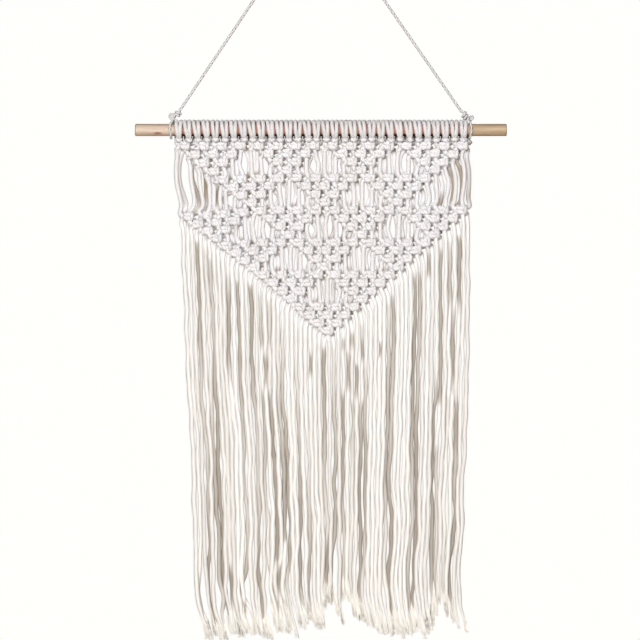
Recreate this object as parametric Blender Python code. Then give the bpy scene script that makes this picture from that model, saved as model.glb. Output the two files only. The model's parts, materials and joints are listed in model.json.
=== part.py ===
"""Macrame wall hanging: knotted cotton cord on a wooden dowel, with its hanging cord.

Metres, +Z up, X along the dowel, front towards -Y. The origin is where the hanging
cord rests on its hook, at the underside of its top bend.
"""
import math

import bmesh
import bpy
from mathutils import Matrix, Vector

# Dowel: a half-inch rod along X, its axis at y = 0
DOWEL_LENGTH = 0.390
DOWEL_RADIUS = 0.00635
DOWEL_X = 0.0032
DOWEL_Z = -0.2290
DOWEL_CHAMFER = 0.0008
DOWEL_SIDES = 32

# The net: 32 doubled cords, so 32 pairs of strands hang down, tied in 24 rows of knots
PAIRS = 32
ROWS = 24
PAIR_WIDTH = 0.0071
ROW_PITCH = 0.00845
FIRST_ROW_Z = -0.2458
TOP_PITCH = 0.00971  # from pair to pair, at the first row
TIP_PITCH = 0.00924  # and at the last one, where the net has drawn in
TOP_CENTRE = 0.0058
TIP_CENTRE = 0.0102
LEFT_SAG = 0.0069  # the left edge has slipped down by this much
SAG_EDGE_X = -0.0565
SAG_WIDTH = 0.0798
SAG_ROWS = 8

# Inverted triangles of 4, 3, 2 and 1 knots: each tier's first row of knots, and the
# first cord pair of each of its triangles
TRIANGLE_ROWS = 4
TIERS = (
    {"row": 1, "first_pairs": (1, 9, 17, 25)},
    {"row": 5, "first_pairs": (5, 13, 21)},
    {"row": 9, "first_pairs": (1, 9, 17, 25)},
    {"row": 13, "first_pairs": (5, 13, 21)},
    {"row": 17, "first_pairs": (9, 17)},
    {"row": 21, "first_pairs": (13,)},
)

# Half thickness of the net, in front of and behind y = 0
KNOT_RIDGE = (0.0054, 0.0046)
KNOT_EDGE = (0.0025, 0.0023)
ROW_CREASE = (0.0020, 0.0020)
FLOAT_DEPTH = (0.0020, 0.0020)
FLOAT_WIDTH = 0.0052
FLOAT_SPREAD = 0.0014  # how far the floating pairs of two triangles stand apart
EDGE_BOW = {"left": 0.0052, "right": 0.0018}
EDGE_PAIRS = 4

# Looped heads of the cords, a ridged sleeve around the dowel
HEAD_PITCH = 0.00965
HEADS_X = 0.0034
HEAD_RIDGE = 0.0039
HEAD_VALLEY = 0.0019
HEAD_CREST_X = 0.00135  # from the middle of a pair to its ridge
HEAD_ANGLES = (36, 72, 108, 144, 180)  # degrees from straight down to the top
BORE_GAP = 0.0003
BORE_SIDES = 24

# Fringe: 64 free strands, whose roots are fused into a narrow strip under the net
STRANDS = 2 * PAIRS
STRAND_WIDTH = 0.0032
STRAND_DEPTH = 0.0036
STRIP_HEIGHT = 0.0030
STRIP_DEPTH = 0.0034
PART_GAP = 0.0003
STRAND_STEPS = 6
SETTLE_LENGTH = 0.060  # below its root a strand has found its place in the curtain
WAVE = 0.0014
WAVE_LENGTH = 0.24
WAVE_LAG = 0.33  # radians from strand to strand
DEPTH_WAVE = 0.0009
DEPTH_TURNS = 1.7  # waves in depth for each sideways wave

# Sides of the hanging fringe
CURTAIN = (
    {"z": -0.322, "left": -0.1436, "right": 0.1598},
    {"z": -0.450, "left": -0.1363, "right": 0.1598},
    {"z": -0.555, "left": -0.1342, "right": 0.1546},
    {"z": -0.618, "left": -0.1268, "right": 0.1546},
    {"z": -0.712, "left": -0.1300, "right": 0.1490},
    {"z": -0.765, "left": -0.1200, "right": 0.1560},
)

# How low the strands end
HEM = (
    {"strand": 1, "z": -0.761},
    {"strand": 6, "z": -0.754},
    {"strand": 9, "z": -0.758},
    {"strand": 16, "z": -0.756},
    {"strand": 19, "z": -0.749},
    {"strand": 23, "z": -0.754},
    {"strand": 26, "z": -0.741},
    {"strand": 29, "z": -0.748},
    {"strand": 32, "z": -0.723},
    {"strand": 35, "z": -0.747},
    {"strand": 38, "z": -0.733},
    {"strand": 44, "z": -0.751},
    {"strand": 50, "z": -0.756},
    {"strand": 55, "z": -0.757},
    {"strand": 58, "z": -0.747},
    {"strand": 61, "z": -0.729},
    {"strand": 64, "z": -0.752},
)

# Hanging cord: two straight legs, and a bend over the hook
HANGER_DIAMETER = 0.0030
HANGER_STEP = 0.0085
HANGER_ROUTE = (
    (-0.1461, -0.2103), (-0.1280, -0.1833), (-0.1100, -0.1564), (-0.0920, -0.1296),
    (-0.0740, -0.1027), (-0.0560, -0.0759), (-0.0380, -0.0490), (-0.0220, -0.0251),
    (-0.0120, -0.0102), (-0.0067, -0.0028), (-0.0036, 0.0004), (0.0000, 0.0015),
    (0.0036, 0.0005), (0.0068, -0.0027), (0.0120, -0.0096), (0.0220, -0.0240),
    (0.0380, -0.0471), (0.0567, -0.0740), (0.0756, -0.1013), (0.0945, -0.1286),
    (0.1134, -0.1558), (0.1323, -0.1830), (0.15075, -0.2097),
)

# Its two ties: a ring around the dowel, the knot on the leg, and the lump of the loop
TIE_RING_GAP = 0.0004
KNOT_ALONG = 0.0047
KNOT_ACROSS = 0.0037
TIES = (
    {"name": "left_tie", "ring_x": -0.1547, "knot": (-0.1489, -0.2145), "leg": 56.2,
     "lump": (-0.1536, -0.2168), "lump_radius": 0.0035},
    {"name": "right_tie", "ring_x": 0.1606, "knot": (0.1536, -0.2138), "leg": 124.7,
     "lump": (0.1594, -0.2168), "lump_radius": 0.0035},
)

COTTON = (0.86, 0.84, 0.80)
WOOD = (0.62, 0.43, 0.27)


def limit(value, low=0.0, high=1.0):
    return min(max(value, low), high)


def between(table, key, value, column):
    """Read a column of a table between its rows, in straight lines."""
    rows = sorted(table, key=lambda row: row[key])
    value = limit(value, rows[0][key], rows[-1][key])
    for before, after in zip(rows, rows[1:]):
        if value <= after[key]:
            share = (value - before[key]) / (after[key] - before[key])
            return before[column] + share * (after[column] - before[column])


def material(name, colour, roughness):
    made = bpy.data.materials.new(name)
    made.use_nodes = True
    shader = made.node_tree.nodes["Principled BSDF"]
    shader.inputs["Base Color"].default_value = (*colour, 1.0)
    shader.inputs["Roughness"].default_value = roughness
    shader.inputs["Metallic"].default_value = 0.0
    return made


def add_object(name, data, finish):
    data.materials.append(finish)
    made = bpy.data.objects.new(name, data)
    bpy.context.collection.objects.link(made)
    return made


def mesh_object(name, shape, finish, sharp_angle):
    """Turn a bmesh into an object, smooth where its faces meet at less than the angle."""
    mesh = bpy.data.meshes.new(name)
    shape.to_mesh(mesh)
    shape.free()
    mesh.shade_smooth()
    mesh.set_sharp_from_angle(angle=math.radians(sharp_angle))
    return add_object(name, mesh, finish)


def closed_solid(name, corners, cells, finish):
    """Close a net of cells into one solid.

    corners holds each corner's front and back point. A cell lists its corners
    anticlockwise as the front shows them. Where no other cell shares a cell's side,
    a wall joins front and back.
    """
    shape = bmesh.new()
    front, back = {}, {}
    for key, (near, far) in corners.items():
        front[key] = shape.verts.new(near)
        back[key] = front[key] if near == far else shape.verts.new(far)
    sides = {}
    for cell in cells:
        shape.faces.new([front[key] for key in cell])
        shape.faces.new([back[key] for key in reversed(cell)])
        sides.update(dict.fromkeys(zip(cell, cell[1:] + cell[:1])))
    for start, end in sides:
        wall = dict.fromkeys((front[end], front[start], back[start], back[end]))
        if (end, start) not in sides and len(wall) > 2:
            shape.faces.new(list(wall))
    return mesh_object(name, shape, finish, 35)


# --- where the cords of the net lie ---


def pair_x(pair, row):
    share = (row - 1) / (ROWS - 1)
    pitch = TOP_PITCH + share * (TIP_PITCH - TOP_PITCH)
    centre = TOP_CENTRE + share * (TIP_CENTRE - TOP_CENTRE)
    return centre + (pair - (PAIRS + 1) / 2) * pitch


def row_z(row, x):
    sag = LEFT_SAG * limit((SAG_EDGE_X - x) / SAG_WIDTH) * limit((row - 1) / SAG_ROWS)
    return FIRST_ROW_Z - (row - 1) * ROW_PITCH - sag


def knots():
    """Yield each knot as its row and the first of the two pairs that it ties."""
    for tier in TIERS:
        for step in range(TRIANGLE_ROWS):
            for first in tier["first_pairs"]:
                for knot in range(TRIANGLE_ROWS - step):
                    yield tier["row"] + step, first + step + 2 * knot


def rows_of_pairs():
    """List the rows in which each pair is tied."""
    tied = {pair: [] for pair in range(1, PAIRS + 1)}
    for row, first in knots():
        tied[first].append(row)
        tied[first + 1].append(row)
    return {pair: sorted(rows) for pair, rows in tied.items()}


def net_corner(column, level, depth):
    """Corner on a pair's left side, where the column is even, or on its right side.

    A row of knots has an odd level at its top, an even one at its middle, and the
    next row's top level at its bottom.
    """
    side = PAIR_WIDTH * (column % 2 - 0.5)
    x = pair_x(column // 2, level / 2) + side
    z = row_z(level / 2, x)
    return (x, -depth[0], z), (x, depth[1], z)


def add_knot_rows(corners, cells):
    """Each knot is a short ridge, lower at its sides and where two rows meet."""
    tied = set(knots())
    for row, first in sorted(tied):
        left = 2 * first
        width = 4 if (row, first + 2) in tied else 3
        for level, middle in ((2 * row - 1, False), (2 * row, True), (2 * row + 1, False)):
            for column in range(left, left + width + 1):
                on_ridge = column in (left + 1, left + 2)
                depth = (KNOT_RIDGE if on_ridge else KNOT_EDGE) if middle else ROW_CREASE
                corners[column, level] = net_corner(column, level, depth)
        for level in (2 * row - 1, 2 * row):
            for column in range(left, left + width):
                cells.append(((column, level + 1), (column + 1, level + 1),
                              (column + 1, level), (column, level)))


def float_shift(pair, start, end):
    """How far a floating pair bows sideways at the middle of its length."""
    if end - start > TRIANGLE_ROWS:
        side = "left" if pair <= EDGE_PAIRS else "right"
        inward = pair - 1 if side == "left" else PAIRS - pair
        bow = EDGE_BOW[side] * (1 - inward / EDGE_PAIRS)
        return -bow if side == "left" else bow
    tier = next(tier for tier in TIERS if tier["row"] <= start < tier["row"] + TRIANGLE_ROWS)
    for first in tier["first_pairs"]:
        if first <= pair < first + TRIANGLE_ROWS:
            return FLOAT_SPREAD
    return -FLOAT_SPREAD


def add_floats(corners, cells):
    """Pairs that hang free from one knot to the next one further down."""
    for pair, rows in rows_of_pairs().items():
        for start, end in zip(rows, rows[1:]):
            if end == start + 1:
                continue
            top, bottom = 2 * start + 1, 2 * end - 1
            steps = end - start
            bow = float_shift(pair, start, end)
            above = ((2 * pair, top), (2 * pair + 1, top))
            for step in range(1, steps + 1):
                below = ((2 * pair, bottom), (2 * pair + 1, bottom))
                if step < steps:
                    share = step / steps
                    row = (top + share * (bottom - top)) / 2
                    x = pair_x(pair, row) + bow * math.sin(math.pi * share)
                    below = (("float", pair, start, step, -1), ("float", pair, start, step, 1))
                    for key in below:
                        edge = x + key[-1] * FLOAT_WIDTH / 2
                        z = row_z(row, edge)
                        corners[key] = (edge, -FLOAT_DEPTH[0], z), (edge, FLOAT_DEPTH[1], z)
                cells.append((below[0], below[1], above[1], above[0]))
                above = below


def add_heads(corners, cells):
    """A ridge for each looped head, from the net's top edge up around the dowel."""
    columns = range(2, 2 * PAIRS + 2)
    for column in columns:
        x = HEADS_X + (column // 2 - (PAIRS + 1) / 2) * HEAD_PITCH
        x += HEAD_CREST_X if column % 2 else -PAIR_WIDTH / 2
        radius = DOWEL_RADIUS + (HEAD_RIDGE if column % 2 else HEAD_VALLEY)
        for angle in HEAD_ANGLES:
            y = radius * math.sin(math.radians(angle))
            z = DOWEL_Z - radius * math.cos(math.radians(angle))
            top = angle == HEAD_ANGLES[-1]
            corners[column, "head", angle] = ((x, 0 if top else -y, z), (x, 0 if top else y, z))
    for column in columns[:-1]:
        below = (column, 1), (column + 1, 1)
        for angle in HEAD_ANGLES:
            above = (column, "head", angle), (column + 1, "head", angle)
            cells.append((below[0], below[1], above[1], above[0]))
            below = above


def make_net(finish):
    corners, cells = {}, []
    add_knot_rows(corners, cells)
    add_floats(corners, cells)
    add_heads(corners, cells)
    net = closed_solid("knotted_net", corners, cells, finish)

    bore = rod("dowel_bore", DOWEL_RADIUS + BORE_GAP, DOWEL_LENGTH, BORE_SIDES, finish)
    bore.hide_render = True
    bore.display_type = "WIRE"
    cut = net.modifiers.new("dowel_bore", "BOOLEAN")
    cut.operation = "DIFFERENCE"
    cut.solver = "EXACT"
    cut.object = bore
    return net


# --- fringe ---


def strand_root(strand):
    """Row under which a strand drops out, its side of the V, and its middle there."""
    pair = (strand + 1) // 2
    left_half = pair <= PAIRS // 2
    rank = pair if left_half else PAIRS + 1 - pair
    row = TIERS[2]["row"] - 1 + rank + 0.5
    outward = -1 if strand % 2 else 1
    x = pair_x(pair, row) + outward * (PAIR_WIDTH - STRAND_WIDTH) / 2
    return pair, row, left_half, x


def curtain_x(strand, z):
    left = between(CURTAIN, "z", z, "left")
    right = between(CURTAIN, "z", z, "right")
    return left + (strand - 0.5) / STRANDS * (right - left)


def strand_middle(strand, root_x, root_z, z):
    """A strand leaves its knot straight down and settles into the curtain's waves."""
    drop = root_z - z
    settled = limit(drop / SETTLE_LENGTH)
    settled = settled * settled * (3 - 2 * settled)
    turn = drop / WAVE_LENGTH * math.tau + WAVE_LAG * strand
    x = root_x + settled * (curtain_x(strand, z) - root_x + WAVE * math.sin(turn))
    y = settled * DEPTH_WAVE * math.sin(DEPTH_TURNS * turn + strand)
    return x, y


def make_fringe(finish):
    corners, cells = {}, []
    strip_edge = None
    for strand in range(1, STRANDS + 1):
        pair, row, left_half, root_x = strand_root(strand)
        outer_x = pair_x(pair, row) + (-PAIR_WIDTH / 2 if left_half else PAIR_WIDTH / 2)
        pitch = abs(pair_x(pair, row) - pair_x(pair - 1, row))
        for side in (-1, 1):
            x = root_x + side * STRAND_WIDTH / 2
            top = row_z(row, x) - PART_GAP
            low = row_z(row + abs(x - outer_x) / pitch, x) - PART_GAP - STRIP_HEIGHT
            for name, z in (("strip", top), ("root", low)):
                corners[strand, side, name] = ((x, -STRIP_DEPTH / 2, z), (x, STRIP_DEPTH / 2, z))
        strip = [(strand, side, name) for side, name in ((-1, "root"), (1, "root"),
                                                         (1, "strip"), (-1, "strip"))]
        cells.append(tuple(strip))
        if strip_edge:
            cells.append((strip_edge[0], strip[0], strip[3], strip_edge[1]))
        strip_edge = strip[1], strip[2]

        root_z = row_z(row, root_x) - PART_GAP - 2 * STRIP_HEIGHT
        end_z = between(HEM, "strand", strand, "z")
        above = strip[0], strip[1]
        for step in range(1, STRAND_STEPS + 1):
            z = root_z - STRIP_HEIGHT + (end_z - root_z + STRIP_HEIGHT) * step / STRAND_STEPS
            x, y = strand_middle(strand, root_x, root_z, z)
            below = (strand, -1, step), (strand, 1, step)
            for key in below:
                edge = x + key[1] * STRAND_WIDTH / 2
                corners[key] = (edge, y - STRAND_DEPTH / 2, z), (edge, y + STRAND_DEPTH / 2, z)
            cells.append((below[0], below[1], above[1], above[0]))
            above = below
    return closed_solid("fringe", corners, cells, finish)


# --- dowel and hanging cord ---


def rod(name, radius, length, sides, finish):
    shape = bmesh.new()
    along_x = Matrix.Rotation(math.pi / 2, 4, "Y")
    bmesh.ops.create_cone(shape, cap_ends=True, segments=sides, radius1=radius,
                          radius2=radius, depth=length, matrix=along_x)
    made = mesh_object(name, shape, finish, 40)
    made.location = (DOWEL_X, 0, DOWEL_Z)
    return made


def make_dowel(finish):
    dowel = rod("dowel", DOWEL_RADIUS, DOWEL_LENGTH, DOWEL_SIDES, finish)
    chamfer = dowel.modifiers.new("chamfer", "BEVEL")
    chamfer.width = DOWEL_CHAMFER
    chamfer.segments = 1
    chamfer.limit_method = "ANGLE"
    chamfer.angle_limit = math.radians(60)


def smooth_points(route, step):
    """Read points from a smooth curve through the route's own points."""
    points = [Vector((x, 0, z)) for x, z in route]
    ends = [2 * points[0] - points[1], *points, 2 * points[-1] - points[-2]]
    path = []
    for before, start, end, after in zip(ends, ends[1:], ends[2:], ends[3:]):
        pieces = max(2, math.ceil((end - start).length / step))
        out = (end - before) * (end - start).length / (end - before).length
        into = (after - start) * (end - start).length / (after - start).length
        for piece in range(pieces):
            t = piece / pieces
            path.append((2 * t**3 - 3 * t**2 + 1) * start + (t**3 - 2 * t**2 + t) * out
                        + (3 * t**2 - 2 * t**3) * end + (t**3 - t**2) * into)
    return [*path, points[-1]]


def make_hanging_cord(finish):
    curve = bpy.data.curves.new("hanging_cord", "CURVE")
    curve.dimensions = "3D"
    curve.bevel_depth = HANGER_DIAMETER / 2
    curve.bevel_resolution = 2
    curve.use_fill_caps = True
    points = smooth_points(HANGER_ROUTE, HANGER_STEP)
    spline = curve.splines.new("POLY")
    spline.points.add(len(points) - 1)
    for target, point in zip(spline.points, points):
        target.co = (*point, 1.0)
    add_object("hanging_cord", curve, finish)


def add_ball(shape, centre, along, across, angle=0.0):
    """Add a rounded lump, longer in the direction of the angle from X towards Z."""
    place = (Matrix.Translation((centre[0], 0, centre[1]))
             @ Matrix.Rotation(-math.radians(angle), 4, "Y")
             @ Matrix.Diagonal((along, across, across, 1)))
    bmesh.ops.create_icosphere(shape, subdivisions=2, radius=1.0, matrix=place)


def make_ring(name, x, finish):
    """A turn of cord around the dowel."""
    turn_radius = DOWEL_RADIUS + TIE_RING_GAP + HANGER_DIAMETER / 2
    shape = bmesh.new()
    sides, steps = 8, 24
    rings = []
    for step in range(steps):
        angle = math.tau * step / steps
        ring = []
        for side in range(sides):
            turn = math.tau * (side + 0.5) / sides
            radius = turn_radius + HANGER_DIAMETER / 2 * math.cos(turn)
            along = HANGER_DIAMETER / 2 * math.sin(turn)
            ring.append(shape.verts.new((x + along, radius * math.cos(angle),
                                         DOWEL_Z + radius * math.sin(angle))))
        rings.append(ring)
    for ring, following in zip(rings, rings[1:] + rings[:1]):
        for side in range(sides):
            after = (side + 1) % sides
            shape.faces.new((ring[side], ring[after], following[after], following[side]))
    bmesh.ops.recalc_face_normals(shape, faces=shape.faces)
    return mesh_object(name, shape, finish, 60)


def make_tie(tie, finish):
    body = make_ring(tie["name"], tie["ring_x"], finish)
    shape = bmesh.new()
    add_ball(shape, tie["knot"], KNOT_ALONG, KNOT_ACROSS, tie["leg"])
    knot = mesh_object(tie["name"] + "_knot", shape, finish, 60)
    shape = bmesh.new()
    add_ball(shape, tie["lump"], tie["lump_radius"], tie["lump_radius"])
    lump = mesh_object(tie["name"] + "_lump", shape, finish, 60)
    for part in (knot, lump):
        part.hide_render = True
        part.display_type = "WIRE"
        join = body.modifiers.new(part.name, "BOOLEAN")
        join.operation = "UNION"
        join.solver = "EXACT"
        join.object = part


def main():
    for existing in list(bpy.data.objects):
        bpy.data.objects.remove(existing, do_unlink=True)
    cotton = material("cotton_cord", COTTON, 0.9)
    hanger = material("hanging_cord", COTTON, 0.85)
    wood = material("dowel_wood", WOOD, 0.55)
    make_dowel(wood)
    make_net(cotton)
    make_fringe(cotton)
    make_hanging_cord(hanger)
    for tie in TIES:
        make_tie(tie, hanger)


main()
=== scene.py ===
import json
import math

import bpy
import numpy as np
from mathutils import Vector
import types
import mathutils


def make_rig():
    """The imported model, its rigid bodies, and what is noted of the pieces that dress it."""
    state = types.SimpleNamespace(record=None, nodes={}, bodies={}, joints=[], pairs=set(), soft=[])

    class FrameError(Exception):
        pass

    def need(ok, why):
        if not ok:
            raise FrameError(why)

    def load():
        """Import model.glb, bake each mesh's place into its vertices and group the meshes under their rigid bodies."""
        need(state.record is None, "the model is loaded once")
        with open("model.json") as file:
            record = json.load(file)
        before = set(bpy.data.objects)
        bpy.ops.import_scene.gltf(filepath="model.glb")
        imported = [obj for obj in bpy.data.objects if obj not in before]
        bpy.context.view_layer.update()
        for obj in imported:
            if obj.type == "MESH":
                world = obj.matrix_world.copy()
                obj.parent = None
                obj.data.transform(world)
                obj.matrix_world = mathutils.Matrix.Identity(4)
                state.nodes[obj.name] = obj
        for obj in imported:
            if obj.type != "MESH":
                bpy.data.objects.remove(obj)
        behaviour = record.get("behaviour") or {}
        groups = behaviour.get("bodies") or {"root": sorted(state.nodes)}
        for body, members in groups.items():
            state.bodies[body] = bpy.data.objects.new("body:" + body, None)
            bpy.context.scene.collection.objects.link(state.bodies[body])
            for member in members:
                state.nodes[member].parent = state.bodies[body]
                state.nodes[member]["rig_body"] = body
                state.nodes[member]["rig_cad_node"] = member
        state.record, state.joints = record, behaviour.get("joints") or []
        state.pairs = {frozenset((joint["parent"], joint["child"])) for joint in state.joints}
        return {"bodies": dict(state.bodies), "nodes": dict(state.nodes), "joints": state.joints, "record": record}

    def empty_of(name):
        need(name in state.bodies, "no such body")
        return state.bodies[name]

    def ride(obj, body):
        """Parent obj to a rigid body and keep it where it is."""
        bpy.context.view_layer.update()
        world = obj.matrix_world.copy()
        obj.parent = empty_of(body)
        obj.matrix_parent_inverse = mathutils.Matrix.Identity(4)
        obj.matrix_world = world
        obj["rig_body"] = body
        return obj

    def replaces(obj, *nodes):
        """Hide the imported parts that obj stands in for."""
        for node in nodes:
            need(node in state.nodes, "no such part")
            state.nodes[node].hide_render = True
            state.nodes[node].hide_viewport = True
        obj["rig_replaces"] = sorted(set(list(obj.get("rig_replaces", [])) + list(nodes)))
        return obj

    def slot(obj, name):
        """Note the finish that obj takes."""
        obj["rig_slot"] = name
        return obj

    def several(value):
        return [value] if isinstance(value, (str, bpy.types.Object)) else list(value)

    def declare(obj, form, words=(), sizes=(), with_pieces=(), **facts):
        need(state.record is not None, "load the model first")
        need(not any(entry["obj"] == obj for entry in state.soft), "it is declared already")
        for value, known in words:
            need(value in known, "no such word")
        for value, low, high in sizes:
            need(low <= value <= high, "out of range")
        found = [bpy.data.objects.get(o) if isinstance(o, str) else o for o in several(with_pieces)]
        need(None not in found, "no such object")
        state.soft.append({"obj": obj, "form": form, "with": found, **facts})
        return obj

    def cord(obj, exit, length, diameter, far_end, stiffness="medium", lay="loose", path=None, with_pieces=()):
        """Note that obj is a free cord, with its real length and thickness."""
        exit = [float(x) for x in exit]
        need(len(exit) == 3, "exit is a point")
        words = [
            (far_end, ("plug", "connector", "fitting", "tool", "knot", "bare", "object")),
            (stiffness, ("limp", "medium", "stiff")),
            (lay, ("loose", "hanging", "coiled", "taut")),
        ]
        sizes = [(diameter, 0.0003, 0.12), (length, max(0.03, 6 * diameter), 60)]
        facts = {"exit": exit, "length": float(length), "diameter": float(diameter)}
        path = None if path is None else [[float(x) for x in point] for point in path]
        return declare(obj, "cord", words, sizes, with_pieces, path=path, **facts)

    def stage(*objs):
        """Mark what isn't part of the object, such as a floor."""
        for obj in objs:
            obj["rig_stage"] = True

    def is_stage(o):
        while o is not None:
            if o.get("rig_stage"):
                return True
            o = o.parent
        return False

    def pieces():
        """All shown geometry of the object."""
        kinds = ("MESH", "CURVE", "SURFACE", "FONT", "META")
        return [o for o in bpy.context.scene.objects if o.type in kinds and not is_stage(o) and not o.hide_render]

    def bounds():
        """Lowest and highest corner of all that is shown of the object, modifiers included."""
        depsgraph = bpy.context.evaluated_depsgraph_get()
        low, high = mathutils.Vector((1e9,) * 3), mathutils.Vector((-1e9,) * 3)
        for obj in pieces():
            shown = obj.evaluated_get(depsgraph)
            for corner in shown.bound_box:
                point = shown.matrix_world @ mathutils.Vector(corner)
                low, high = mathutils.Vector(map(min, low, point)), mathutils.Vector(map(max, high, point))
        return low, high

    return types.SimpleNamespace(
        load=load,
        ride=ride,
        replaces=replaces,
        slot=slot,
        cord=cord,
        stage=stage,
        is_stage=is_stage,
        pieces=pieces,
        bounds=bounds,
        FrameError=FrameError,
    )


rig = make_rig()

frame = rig.load()
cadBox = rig.bounds()
mm = 0.001
print("frame loaded:", ", ".join(sorted(frame["nodes"])))


# the photograph's pixels in the row frame: millimetres to a pixel, the hook's column, and the
# row and height above the hook where the cord's two straight runs would meet
photo = {"scale": 1.05, "hookColumn": 317.8, "meetRow": -95.4, "meetHeight": 7.7}


def photoX(column):
    return (column - photo["hookColumn"]) * photo["scale"]


def photoZ(row):
    return photo["meetHeight"] - photo["scale"] * (row - photo["meetRow"])


def photoColumn(x):
    return x / photo["scale"] + photo["hookColumn"]


def photoRow(z):
    return photo["meetHeight"] / photo["scale"] - z / photo["scale"] + photo["meetRow"]


def easeIn(value):
    value = np.clip(value, 0.0, 1.0)
    return value * value * (3 - 2 * value)


# camera: square on to the front, with a long lens, as in the photograph
cameraView = {"middle": (0.0023, -0.4285), "height": 0.672, "distance": 3.2, "sensor": 36.0}

cameraData = bpy.data.cameras.new("camera")
cameraData.sensor_width = cameraView["sensor"]
cameraData.lens = cameraView["sensor"] * cameraView["distance"] / cameraView["height"]
camera = bpy.data.objects.new("camera", cameraData)
camera.location = (cameraView["middle"][0], -cameraView["distance"], cameraView["middle"][1])
camera.rotation_euler = (math.pi / 2, 0, 0)
bpy.context.scene.collection.objects.link(camera)
bpy.context.scene.camera = camera


def linear(hexColour):
    parts = [int(hexColour[i:i + 2], 16) / 255 for i in (1, 3, 5)]
    return (*[p / 12.92 if p <= 0.04045 else ((p + 0.055) / 1.055) ** 2.4 for p in parts], 1.0)


def addNode(tree, kind, inputs=None, **settings):
    node = tree.nodes.new(kind)
    for name, value in settings.items():
        setattr(node, name, value)
    for key, value in (inputs or {}).items():
        if isinstance(value, bpy.types.NodeSocket):
            tree.links.new(value, node.inputs[key])
        else:
            node.inputs[key].default_value = value
    return node


def compute(tree, operation, *values):
    node = addNode(tree, "ShaderNodeMath", dict(enumerate(values)), operation=operation)
    return node.outputs[0]


def computeVector(tree, operation, *values):
    node = addNode(tree, "ShaderNodeVectorMath", dict(enumerate(values)), operation=operation)
    return node.outputs["Value" if operation == "LENGTH" else "Vector"]


def mixColours(tree, share, first, second):
    node = addNode(tree, "ShaderNodeMix", {0: share, 6: first, 7: second}, data_type="RGBA")
    return node.outputs[2]


def rise(tree, value, start, end, most=1.0, kind="SMOOTHSTEP"):
    # from nothing at start to most at end
    node = addNode(tree, "ShaderNodeMapRange", {"Value": value, "From Min": start,
                   "From Max": end, "To Max": most}, interpolation_type=kind)
    return node.outputs[0]


def makeNoise(tree, place, scale, detail, distortion=0.0):
    node = addNode(tree, "ShaderNodeTexNoise", {"Vector": place, "Scale": scale,
                   "Detail": detail, "Distortion": distortion})
    return node.outputs["Fac"]


def newMaterial(name):
    made = bpy.data.materials.new(name)
    made.use_nodes = True
    made.node_tree.nodes.clear()
    return made, made.node_tree


def finishMaterial(tree, looks):
    shader = addNode(tree, "ShaderNodeBsdfPrincipled", looks)
    addNode(tree, "ShaderNodeOutputMaterial", {"Surface": shader.outputs[0]})


# Raw cotton cord, three plies laid together: matt, near white, creamier lower down, with
# painted shade in the grooves, short fibres along each ply and browner painted shade where strands lie deep
cottonLook = {"pale": "#EDEDF0", "warm": "#EAE7E0", "painted_shade": "#A89A88", "groove": "#7A6E66",
              "grooveShare": 0.2, "grooveSharpness": 2.0, "plies": 3, "roughness": 0.92,
              "sheen": 0.1, "sheenRoughness": 0.5, "fibreAcross": 0.3, "fibreAlong": 3.2,
              "patches": 60.0, "plyHeight": 0.25, "fibreHeight": 0.09}
# The free strands of the fringe, combed straight: whiter, and their plies stand out more
fringeLook = {**cottonLook, "pale": "#FDFDFE", "warm": "#FAF8F4", "painted_shade": "#C2BCB5",
              "grooveShare": 0.16, "plyHeight": 0.4}
# Combed-out cotton at the fringe ends: the same fibre without plies, soft and nearly white
frayLook = {**cottonLook, "pale": "#FBFAF8", "grooveShare": 0.0, "plyHeight": 0.0,
            "fibreHeight": 0.05}
# The thin hanging cord: two plies, greyer than the net, with more painted shade in its grooves
hangerLook = {**cottonLook, "pale": "#E4E4E6", "warm": "#DEDEDE", "groove": "#8E8C8A",
              "grooveShare": 0.4, "plies": 2, "plyHeight": 0.3}


def makeCotton(name, look):
    made, tree = newMaterial(name)
    place = addNode(tree, "ShaderNodeAttribute", attribute_name="cordMap").outputs["Vector"]
    tone = addNode(tree, "ShaderNodeAttribute", attribute_name="tone").outputs["Fac"]
    deep = addNode(tree, "ShaderNodeAttribute", attribute_name="painted_shade").outputs["Fac"]
    parts = addNode(tree, "ShaderNodeSeparateXYZ", {0: place})
    turn = compute(tree, "ARCTAN2", parts.outputs[1], parts.outputs[0])
    lobes = compute(tree, "MULTIPLY", turn, look["plies"] / 2)
    crest = compute(tree, "ABSOLUTE", compute(tree, "SINE", lobes))
    across, along = 1 / (look["fibreAcross"] * mm), 1 / (look["fibreAlong"] * mm)
    stretched = computeVector(tree, "MULTIPLY", place, (across, across, along))
    fibres = makeNoise(tree, stretched, 1.0, 2.0)
    blend = compute(tree, "MULTIPLY", tone, makeNoise(tree, place, look["patches"], 2.0))
    cotton = mixColours(tree, blend, linear(look["pale"]), linear(look["warm"]))
    # painted shade: browner where the painted_shade attribute says a strand lies deep, in a recess or on a flank
    shaded = mixColours(tree, deep, cotton, linear(look["painted_shade"]))
    # painted shade in the grooves between the plies
    low = compute(tree, "SUBTRACT", 1.0, crest)
    narrow = compute(tree, "POWER", low, look["grooveSharpness"])
    groove = compute(tree, "MULTIPLY", narrow, look["grooveShare"])
    colour = mixColours(tree, groove, shaded, linear(look["groove"]))
    plies = compute(tree, "MULTIPLY", crest, look["plyHeight"])
    height = compute(tree, "MULTIPLY_ADD", fibres, look["fibreHeight"], plies)
    bump = addNode(tree, "ShaderNodeBump", {"Height": height, "Distance": mm})
    finishMaterial(tree, {
        "Base Color": colour, "Roughness": look["roughness"], "Sheen Weight": look["sheen"],
        "Sheen Roughness": look["sheenRoughness"], "Normal": bump.outputs[0]})
    return made
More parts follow.
